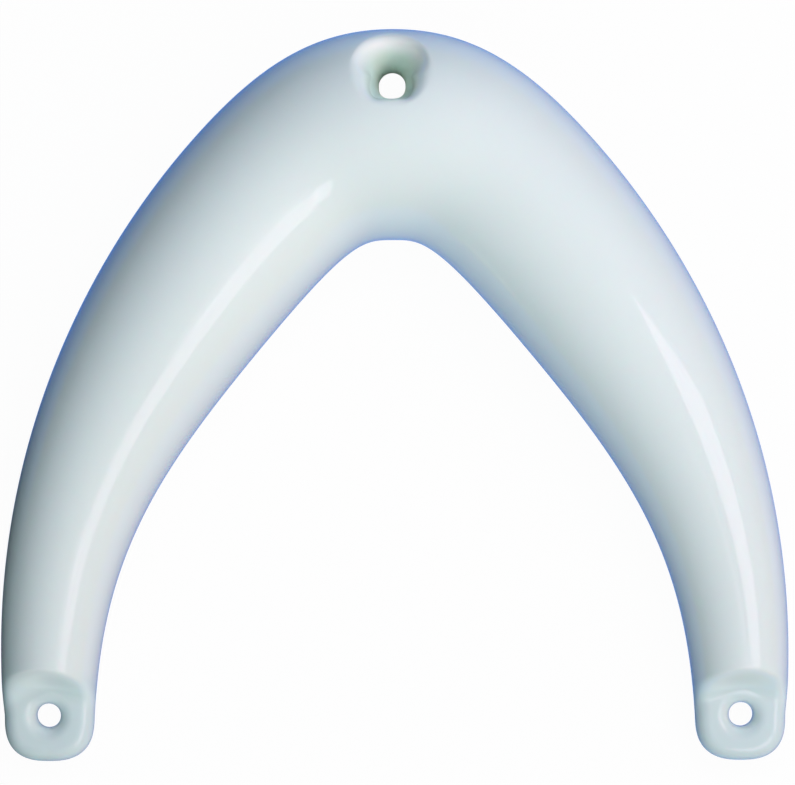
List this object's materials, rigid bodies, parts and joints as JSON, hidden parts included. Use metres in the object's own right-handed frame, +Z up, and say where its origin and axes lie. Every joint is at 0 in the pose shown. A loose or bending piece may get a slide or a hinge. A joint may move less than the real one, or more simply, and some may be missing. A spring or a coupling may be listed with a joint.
{
  "type": "bow fender",
  "caption": "Arch-shaped bow fender of glossy white PVC: a fat rounded bend with a flared rope throat, and tapering arms that end in flat lugs with rounded eyes.",
  "frame": {"origin": "on the floor, under the middle of the fender's box as it lies at rest", "axes": "+X across the arms, +Y towards the outside of the bend, +Z up; the fender lies with its middle plane tipped down towards the lugs by about 6.5 degrees"},
  "size_m": [0.3486, 0.3218, 0.0941],
  "materials": {
    "soft_pvc": "smooth glossy white soft PVC, slightly translucent, with light handling marks"
  },
  "bodies": {
    "root": {"fender": "soft_pvc"}
  },
  "joints": []
}
